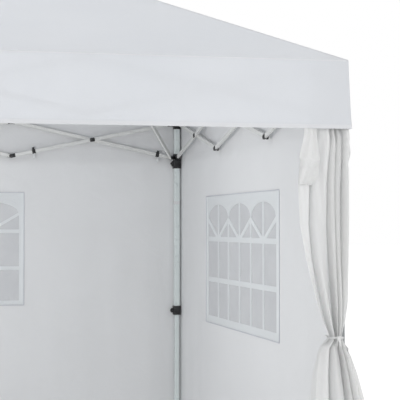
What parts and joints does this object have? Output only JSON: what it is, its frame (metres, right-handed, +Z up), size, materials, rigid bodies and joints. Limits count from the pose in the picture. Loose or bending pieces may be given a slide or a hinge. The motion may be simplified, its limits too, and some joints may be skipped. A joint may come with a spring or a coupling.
{
  "type": "pop up canopy",
  "caption": "Square pop up canopy: scissor truss frame, folding umbrella roof, telescopic legs, fabric top with valance, window walls and tied front curtains.",
  "frame": {"origin": "on the ground, midway between the four feet", "axes": "+Z up, +X to the right seen from the open front, which faces -Y"},
  "size_m": [3.2, 3.05, 2.76],
  "materials": {
    "truss_steel": "satin",
    "leg_steel": "satin",
    "black_plastic": "satin",
    "roof_fabric": "matte",
    "wall_fabric": "matte"
  },
  "bodies": {
    "back_left_leg": {"back_left_upper_leg": "leg_steel", "canopy_top": "roof_fabric", "back_wall": "wall_fabric", "left_wall": "wall_fabric"},
    "back_right_leg": {"back_right_upper_leg": "leg_steel", "right_wall": "wall_fabric"},
    "front_left_leg": {"front_left_upper_leg": "leg_steel", "left_curtain": "wall_fabric"},
    "front_right_leg": {"front_right_upper_leg": "leg_steel", "right_curtain": "wall_fabric"},
    "back_falling_bar_1": {"back_falling_bar_1": "truss_steel"},
    "back_rising_bar_1": {"back_rising_bar_1": "truss_steel"},
    "back_falling_bar_2": {"back_falling_bar_2": "truss_steel"},
    "back_rising_bar_2": {"back_rising_bar_2": "truss_steel"},
    "back_falling_bar_3": {"back_falling_bar_3": "truss_steel"},
    "back_rising_bar_3": {"back_rising_bar_3": "truss_steel"},
    "left_falling_bar_1": {"left_falling_bar_1": "truss_steel"},
    "left_rising_bar_1": {"left_rising_bar_1": "truss_steel"},
    "left_falling_bar_2": {"left_falling_bar_2": "truss_steel"},
    "left_rising_bar_2": {"left_rising_bar_2": "truss_steel"},
    "left_falling_bar_3": {"left_falling_bar_3": "truss_steel"},
    "left_rising_bar_3": {"left_rising_bar_3": "truss_steel"},
    "right_falling_bar_1": {"right_falling_bar_1": "truss_steel"},
    "right_rising_bar_1": {"right_rising_bar_1": "truss_steel"},
    "right_falling_bar_2": {"right_falling_bar_2": "truss_steel"},
    "right_rising_bar_2": {"right_rising_bar_2": "truss_steel"},
    "right_falling_bar_3": {"right_falling_bar_3": "truss_steel"},
    "right_rising_bar_3": {"right_rising_bar_3": "truss_steel"},
    "front_falling_bar_1": {"front_falling_bar_1": "truss_steel"},
    "front_rising_bar_1": {"front_rising_bar_1": "truss_steel"},
    "front_falling_bar_2": {"front_falling_bar_2": "truss_steel"},
    "front_rising_bar_2": {"front_rising_bar_2": "truss_steel"},
    "front_falling_bar_3": {"front_falling_bar_3": "truss_steel"},
    "front_rising_bar_3": {"front_rising_bar_3": "truss_steel"},
    "back_left_slider": {"back_left_slider": "black_plastic"},
    "back_right_slider": {"back_right_slider": "black_plastic"},
    "front_left_slider": {"front_left_slider": "black_plastic"},
    "front_right_slider": {"front_right_slider": "black_plastic"},
    "back_left_outer_rafter": {"back_left_outer_rafter": "truss_steel"},
    "back_left_inner_rafter": {"back_left_inner_rafter": "truss_steel"},
    "back_left_strut": {"back_left_strut": "truss_steel"},
    "roof_hub": {"roof_hub": "black_plastic"},
    "back_right_outer_rafter": {"back_right_outer_rafter": "truss_steel"},
    "back_right_inner_rafter": {"back_right_inner_rafter": "truss_steel"},
    "back_right_strut": {"back_right_strut": "truss_steel"},
    "front_left_outer_rafter": {"front_left_outer_rafter": "truss_steel"},
    "front_left_inner_rafter": {"front_left_inner_rafter": "truss_steel"},
    "front_left_strut": {"front_left_strut": "truss_steel"},
    "front_right_outer_rafter": {"front_right_outer_rafter": "truss_steel"},
    "front_right_inner_rafter": {"front_right_inner_rafter": "truss_steel"},
    "front_right_strut": {"front_right_strut": "truss_steel"},
    "back_left_lower_leg": {"back_left_lower_leg": "leg_steel"},
    "back_left_leg_button": {"back_left_leg_button": "black_plastic"},
    "back_right_lower_leg": {"back_right_lower_leg": "leg_steel"},
    "back_right_leg_button": {"back_right_leg_button": "black_plastic"},
    "front_left_lower_leg": {"front_left_lower_leg": "leg_steel"},
    "front_left_leg_button": {"front_left_leg_button": "black_plastic"},
    "front_right_lower_leg": {"front_right_lower_leg": "leg_steel"},
    "front_right_leg_button": {"front_right_leg_button": "black_plastic"}
  },
  "joints": [
    {"name": "frame_fold", "type": "hinge", "parent": "back_left_leg", "child": "back_falling_bar_1", "pos_m": [-1.447, 1.485, 1.975], "axis": [0, 1, 0], "range_deg": [0, 74.5], "deforming": ["canopy_top", "back_wall", "left_wall", "right_wall", "left_curtain", "right_curtain"]},
    {"name": "back_cross_1_hinge", "type": "hinge", "parent": "back_falling_bar_1", "child": "back_rising_bar_1", "pos_m": [-0.96467, 1.485, 1.87275], "axis": [0, 1, 0], "range_deg": [-149, 0]},
    {"name": "back_falling_bar_2_hinge", "type": "hinge", "parent": "back_rising_bar_1", "child": "back_falling_bar_2", "pos_m": [-0.48233, 1.485, 1.975], "axis": [0, 1, 0], "range_deg": [0, 149]},
    {"name": "back_cross_2_hinge", "type": "hinge", "parent": "back_falling_bar_2", "child": "back_rising_bar_2", "pos_m": [0, 1.485, 1.87275], "axis": [0, 1, 0], "range_deg": [-149, 0]},
    {"name": "back_falling_bar_3_hinge", "type": "hinge", "parent": "back_rising_bar_2", "child": "back_falling_bar_3", "pos_m": [0.48233, 1.485, 1.975], "axis": [0, 1, 0], "range_deg": [0, 149]},
    {"name": "back_cross_3_hinge", "type": "hinge", "parent": "back_falling_bar_3", "child": "back_rising_bar_3", "pos_m": [0.96467, 1.485, 1.87275], "axis": [0, 1, 0], "range_deg": [-149, 0]},
    {"name": "back_right_leg_hinge", "type": "hinge", "parent": "back_rising_bar_3", "child": "back_right_leg", "pos_m": [1.447, 1.485, 1.975], "axis": [0, 1, 0], "range_deg": [0, 74.5]},
    {"name": "left_falling_bar_1_hinge", "type": "hinge", "parent": "back_left_leg", "child": "left_falling_bar_1", "pos_m": [-1.485, 1.447, 1.975], "axis": [1, 0, 0], "range_deg": [0, 74.5]},
    {"name": "left_cross_1_hinge", "type": "hinge", "parent": "left_falling_bar_1", "child": "left_rising_bar_1", "pos_m": [-1.485, 0.96467, 1.87275], "axis": [1, 0, 0], "range_deg": [-149, 0]},
    {"name": "left_falling_bar_2_hinge", "type": "hinge", "parent": "left_rising_bar_1", "child": "left_falling_bar_2", "pos_m": [-1.485, 0.48233, 1.975], "axis": [1, 0, 0], "range_deg": [0, 149]},
    {"name": "left_cross_2_hinge", "type": "hinge", "parent": "left_falling_bar_2", "child": "left_rising_bar_2", "pos_m": [-1.485, 0, 1.87275], "axis": [1, 0, 0], "range_deg": [-149, 0]},
    {"name": "left_falling_bar_3_hinge", "type": "hinge", "parent": "left_rising_bar_2", "child": "left_falling_bar_3", "pos_m": [-1.485, -0.48233, 1.975], "axis": [1, 0, 0], "range_deg": [0, 149]},
    {"name": "left_cross_3_hinge", "type": "hinge", "parent": "left_falling_bar_3", "child": "left_rising_bar_3", "pos_m": [-1.485, -0.96467, 1.87275], "axis": [1, 0, 0], "range_deg": [-149, 0]},
    {"name": "front_left_leg_hinge", "type": "hinge", "parent": "left_rising_bar_3", "child": "front_left_leg", "pos_m": [-1.485, -1.447, 1.975], "axis": [1, 0, 0], "range_deg": [0, 74.5]},
    {"name": "right_falling_bar_1_hinge", "type": "hinge", "parent": "back_right_leg", "child": "right_falling_bar_1", "pos_m": [1.485, 1.447, 1.975], "axis": [1, 0, 0], "range_deg": [0, 74.5]},
    {"name": "right_cross_1_hinge", "type": "hinge", "parent": "right_falling_bar_1", "child": "right_rising_bar_1", "pos_m": [1.485, 0.96467, 1.87275], "axis": [1, 0, 0], "range_deg": [-149, 0]},
    {"name": "right_falling_bar_2_hinge", "type": "hinge", "parent": "right_rising_bar_1", "child": "right_falling_bar_2", "pos_m": [1.485, 0.48233, 1.975], "axis": [1, 0, 0], "range_deg": [0, 149]},
    {"name": "right_cross_2_hinge", "type": "hinge", "parent": "right_falling_bar_2", "child": "right_rising_bar_2", "pos_m": [1.485, 0, 1.87275], "axis": [1, 0, 0], "range_deg": [-149, 0]},
    {"name": "right_falling_bar_3_hinge", "type": "hinge", "parent": "right_rising_bar_2", "child": "right_falling_bar_3", "pos_m": [1.485, -0.48233, 1.975], "axis": [1, 0, 0], "range_deg": [0, 149]},
    {"name": "right_cross_3_hinge", "type": "hinge", "parent": "right_falling_bar_3", "child": "right_rising_bar_3", "pos_m": [1.485, -0.96467, 1.87275], "axis": [1, 0, 0], "range_deg": [-149, 0]},
    {"name": "front_right_leg_hinge", "type": "hinge", "parent": "right_rising_bar_3", "child": "front_right_leg", "pos_m": [1.485, -1.447, 1.975], "axis": [1, 0, 0], "range_deg": [0, 74.5]},
    {"name": "front_falling_bar_1_hinge", "type": "hinge", "parent": "front_left_leg", "child": "front_falling_bar_1", "pos_m": [-1.447, -1.485, 1.975], "axis": [0, 1, 0], "range_deg": [0, 74.5]},
    {"name": "front_cross_1_hinge", "type": "hinge", "parent": "front_falling_bar_1", "child": "front_rising_bar_1", "pos_m": [-0.96467, -1.485, 1.87275], "axis": [0, 1, 0], "range_deg": [-149, 0]},
    {"name": "front_falling_bar_2_hinge", "type": "hinge", "parent": "front_rising_bar_1", "child": "front_falling_bar_2", "pos_m": [-0.48233, -1.485, 1.975], "axis": [0, 1, 0], "range_deg": [0, 149]},
    {"name": "front_cross_2_hinge", "type": "hinge", "parent": "front_falling_bar_2", "child": "front_rising_bar_2", "pos_m": [0, -1.485, 1.87275], "axis": [0, 1, 0], "range_deg": [-149, 0]},
    {"name": "front_falling_bar_3_hinge", "type": "hinge", "parent": "front_rising_bar_2", "child": "front_falling_bar_3", "pos_m": [0.48233, -1.485, 1.975], "axis": [0, 1, 0], "range_deg": [0, 149]},
    {"name": "front_cross_3_hinge", "type": "hinge", "parent": "front_falling_bar_3", "child": "front_rising_bar_3", "pos_m": [0.96467, -1.485, 1.87275], "axis": [0, 1, 0], "range_deg": [-149, 0]},
    {"name": "back_left_slider_hinge", "type": "hinge", "parent": "back_rising_bar_1", "child": "back_left_slider", "pos_m": [-1.447, 1.485, 1.7705], "axis": [0, 1, 0], "range_deg": [0, 74.5]},
    {"name": "back_right_slider_hinge", "type": "hinge", "parent": "back_falling_bar_3", "child": "back_right_slider", "pos_m": [1.447, 1.485, 1.7705], "axis": [0, 1, 0], "range_deg": [-74.5, 0]},
    {"name": "front_left_slider_hinge", "type": "hinge", "parent": "left_falling_bar_3", "child": "front_left_slider", "pos_m": [-1.485, -1.447, 1.7705], "axis": [1, 0, 0], "range_deg": [-74.5, 0]},
    {"name": "front_right_slider_hinge", "type": "hinge", "parent": "right_falling_bar_3", "child": "front_right_slider", "pos_m": [1.485, -1.447, 1.7705], "axis": [1, 0, 0], "range_deg": [-74.5, 0]},
    {"name": "back_left_rafter_hinge", "type": "hinge", "parent": "back_left_leg", "child": "back_left_outer_rafter", "pos_m": [-1.45106, 1.45106, 2.005], "axis": [-0.7071, -0.7071, 0], "range_deg": [-108.03, 0]},
    {"name": "back_left_knuckle", "type": "hinge", "parent": "back_left_outer_rafter", "child": "back_left_inner_rafter", "pos_m": [-0.81461, 0.81461, 2.32419], "axis": [-0.7071, -0.7071, 0], "range_deg": [0, 175.58]},
    {"name": "back_left_hub_hinge", "type": "hinge", "parent": "back_left_inner_rafter", "child": "roof_hub", "pos_m": [-0.03535, 0.03535, 2.715], "axis": [-0.7071, -0.7071, 0], "range_deg": [-67.55, 0]},
    {"name": "back_left_strut_hinge", "type": "hinge", "parent": "back_left_slider", "child": "back_left_strut", "pos_m": [-1.45106, 1.45106, 1.7705], "axis": [-0.7071, -0.7071, 0], "range_deg": [0, 46.43]},
    {"name": "back_right_rafter_hinge", "type": "hinge", "parent": "back_right_leg", "child": "back_right_outer_rafter", "pos_m": [1.45106, 1.45106, 2.005], "axis": [-0.7071, 0.7071, 0], "range_deg": [-108.03, 0]},
    {"name": "back_right_hub_hinge", "type": "hinge", "parent": "roof_hub", "child": "back_right_inner_rafter", "pos_m": [0.03535, 0.03535, 2.715], "axis": [-0.7071, 0.7071, 0], "range_deg": [0, 67.55]},
    {"name": "back_right_strut_hinge", "type": "hinge", "parent": "back_right_slider", "child": "back_right_strut", "pos_m": [1.45106, 1.45106, 1.7705], "axis": [-0.7071, 0.7071, 0], "range_deg": [0, 46.43]},
    {"name": "front_left_rafter_hinge", "type": "hinge", "parent": "front_left_leg", "child": "front_left_outer_rafter", "pos_m": [-1.45106, -1.45106, 2.005], "axis": [0.7071, -0.7071, 0], "range_deg": [-108.03, 0]},
    {"name": "front_left_hub_hinge", "type": "hinge", "parent": "roof_hub", "child": "front_left_inner_rafter", "pos_m": [-0.03535, -0.03535, 2.715], "axis": [0.7071, -0.7071, 0], "range_deg": [0, 67.55]},
    {"name": "front_left_strut_hinge", "type": "hinge", "parent": "front_left_slider", "child": "front_left_strut", "pos_m": [-1.45106, -1.45106, 1.7705], "axis": [0.7071, -0.7071, 0], "range_deg": [0, 46.43]},
    {"name": "front_right_rafter_hinge", "type": "hinge", "parent": "front_right_leg", "child": "front_right_outer_rafter", "pos_m": [1.45106, -1.45106, 2.005], "axis": [0.7071, 0.7071, 0], "range_deg": [-108.03, 0]},
    {"name": "front_right_hub_hinge", "type": "hinge", "parent": "roof_hub", "child": "front_right_inner_rafter", "pos_m": [0.03535, -0.03535, 2.715], "axis": [0.7071, 0.7071, 0], "range_deg": [0, 67.55]},
    {"name": "front_right_strut_hinge", "type": "hinge", "parent": "front_right_slider", "child": "front_right_strut", "pos_m": [1.45106, -1.45106, 1.7705], "axis": [0.7071, 0.7071, 0], "range_deg": [0, 46.43]},
    {"name": "back_left_leg_slide", "type": "slide", "parent": "back_left_leg", "child": "back_left_lower_leg", "axis": [0, 0, 1], "range_m": [0, 0.78]},
    {"name": "back_left_button_press", "type": "slide", "parent": "back_left_leg", "child": "back_left_leg_button", "axis": [-1, 0, 0], "range_m": [0, 0.005], "stiffness_N_per_m": 400, "springref_m": -0.005},
    {"name": "back_right_leg_slide", "type": "slide", "parent": "back_right_leg", "child": "back_right_lower_leg", "axis": [0, 0, 1], "range_m": [0, 0.78]},
    {"name": "back_right_button_press", "type": "slide", "parent": "back_right_leg", "child": "back_right_leg_button", "axis": [1, 0, 0], "range_m": [0, 0.005], "stiffness_N_per_m": 400, "springref_m": -0.005},
    {"name": "front_left_leg_slide", "type": "slide", "parent": "front_left_leg", "child": "front_left_lower_leg", "axis": [0, 0, 1], "range_m": [0, 0.78]},
    {"name": "front_left_button_press", "type": "slide", "parent": "front_left_leg", "child": "front_left_leg_button", "axis": [-1, 0, 0], "range_m": [0, 0.005], "stiffness_N_per_m": 400, "springref_m": -0.005},
    {"name": "front_right_leg_slide", "type": "slide", "parent": "front_right_leg", "child": "front_right_lower_leg", "axis": [0, 0, 1], "range_m": [0, 0.78]},
    {"name": "front_right_button_press", "type": "slide", "parent": "front_right_leg", "child": "front_right_leg_button", "axis": [1, 0, 0], "range_m": [0, 0.005], "stiffness_N_per_m": 400, "springref_m": -0.005}
  ],
  "couplings": [
    {"joint": "back_cross_1_hinge", "follows": "frame_fold", "ratio": -2},
    {"joint": "back_falling_bar_2_hinge", "follows": "frame_fold", "ratio": 2},
    {"joint": "back_cross_2_hinge", "follows": "frame_fold", "ratio": -2},
    {"joint": "back_falling_bar_3_hinge", "follows": "frame_fold", "ratio": 2},
    {"joint": "back_cross_3_hinge", "follows": "frame_fold", "ratio": -2},
    {"joint": "back_right_leg_hinge", "follows": "frame_fold", "ratio": 1},
    {"joint": "left_falling_bar_1_hinge", "follows": "frame_fold", "ratio": 1},
    {"joint": "left_cross_1_hinge", "follows": "frame_fold", "ratio": -2},
    {"joint": "left_falling_bar_2_hinge", "follows": "frame_fold", "ratio": 2},
    {"joint": "left_cross_2_hinge", "follows": "frame_fold", "ratio": -2},
    {"joint": "left_falling_bar_3_hinge", "follows": "frame_fold", "ratio": 2},
    {"joint": "left_cross_3_hinge", "follows": "frame_fold", "ratio": -2},
    {"joint": "front_left_leg_hinge", "follows": "frame_fold", "ratio": 1},
    {"joint": "right_falling_bar_1_hinge", "follows": "frame_fold", "ratio": 1},
    {"joint": "right_cross_1_hinge", "follows": "frame_fold", "ratio": -2},
    {"joint": "right_falling_bar_2_hinge", "follows": "frame_fold", "ratio": 2},
    {"joint": "right_cross_2_hinge", "follows": "frame_fold", "ratio": -2},
    {"joint": "right_falling_bar_3_hinge", "follows": "frame_fold", "ratio": 2},
    {"joint": "right_cross_3_hinge", "follows": "frame_fold", "ratio": -2},
    {"joint": "front_right_leg_hinge", "follows": "frame_fold", "ratio": 1},
    {"joint": "front_falling_bar_1_hinge", "follows": "frame_fold", "ratio": 1},
    {"joint": "front_cross_1_hinge", "follows": "frame_fold", "ratio": -2},
    {"joint": "front_falling_bar_2_hinge", "follows": "frame_fold", "ratio": 2},
    {"joint": "front_cross_2_hinge", "follows": "frame_fold", "ratio": -2},
    {"joint": "front_falling_bar_3_hinge", "follows": "frame_fold", "ratio": 2},
    {"joint": "front_cross_3_hinge", "follows": "frame_fold", "ratio": -2},
    {"joint": "back_left_slider_hinge", "follows": "frame_fold", "ratio": 1},
    {"joint": "back_right_slider_hinge", "follows": "frame_fold", "ratio": -1},
    {"joint": "front_left_slider_hinge", "follows": "frame_fold", "ratio": -1},
    {"joint": "front_right_slider_hinge", "follows": "frame_fold", "ratio": -1},
    {"joint": "back_left_rafter_hinge", "follows": "frame_fold", "ratio": -1.45},
    {"joint": "back_left_knuckle", "follows": "frame_fold", "ratio": 2.3568},
    {"joint": "back_left_hub_hinge", "follows": "frame_fold", "ratio": -0.90676},
    {"joint": "back_left_strut_hinge", "follows": "frame_fold", "ratio": 0.62327},
    {"joint": "back_right_rafter_hinge", "follows": "frame_fold", "ratio": -1.45},
    {"joint": "back_right_hub_hinge", "follows": "frame_fold", "ratio": 0.90676},
    {"joint": "back_right_strut_hinge", "follows": "frame_fold", "ratio": 0.62327},
    {"joint": "front_left_rafter_hinge", "follows": "frame_fold", "ratio": -1.45},
    {"joint": "front_left_hub_hinge", "follows": "frame_fold", "ratio": 0.90676},
    {"joint": "front_left_strut_hinge", "follows": "frame_fold", "ratio": 0.62327},
    {"joint": "front_right_rafter_hinge", "follows": "frame_fold", "ratio": -1.45},
    {"joint": "front_right_hub_hinge", "follows": "frame_fold", "ratio": 0.90676},
    {"joint": "front_right_strut_hinge", "follows": "frame_fold", "ratio": 0.62327}
  ]
}
